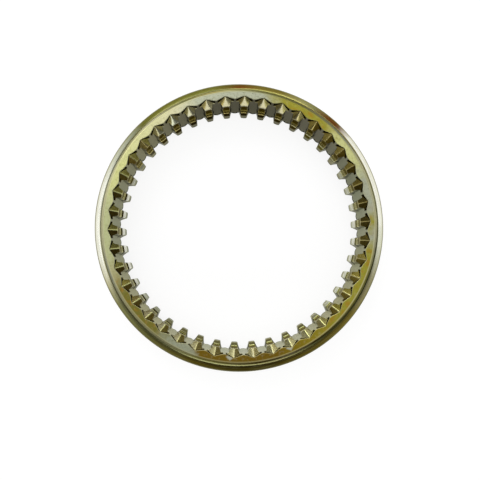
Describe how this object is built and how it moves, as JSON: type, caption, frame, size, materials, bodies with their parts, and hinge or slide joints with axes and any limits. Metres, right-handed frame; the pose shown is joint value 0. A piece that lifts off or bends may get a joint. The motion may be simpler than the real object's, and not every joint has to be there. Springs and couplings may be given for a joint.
{
  "type": "synchronizer sleeve",
  "caption": "Shift sleeve of a synchronizer: a steel ring with a pointed internal spline, scalloped faces, bevelled rims and a fork groove.",
  "frame": {"origin": "centre of the rear face, on the ring's axis", "axes": "+Z along the axis towards the front face, +X through the middle of one tooth"},
  "size_m": [0.1236, 0.1236, 0.024],
  "materials": {
    "oiled_steel": "turned and ground steel under a thin amber film of rust-preventive oil"
  },
  "bodies": {
    "root": {"sleeve": "oiled_steel"}
  },
  "joints": []
}
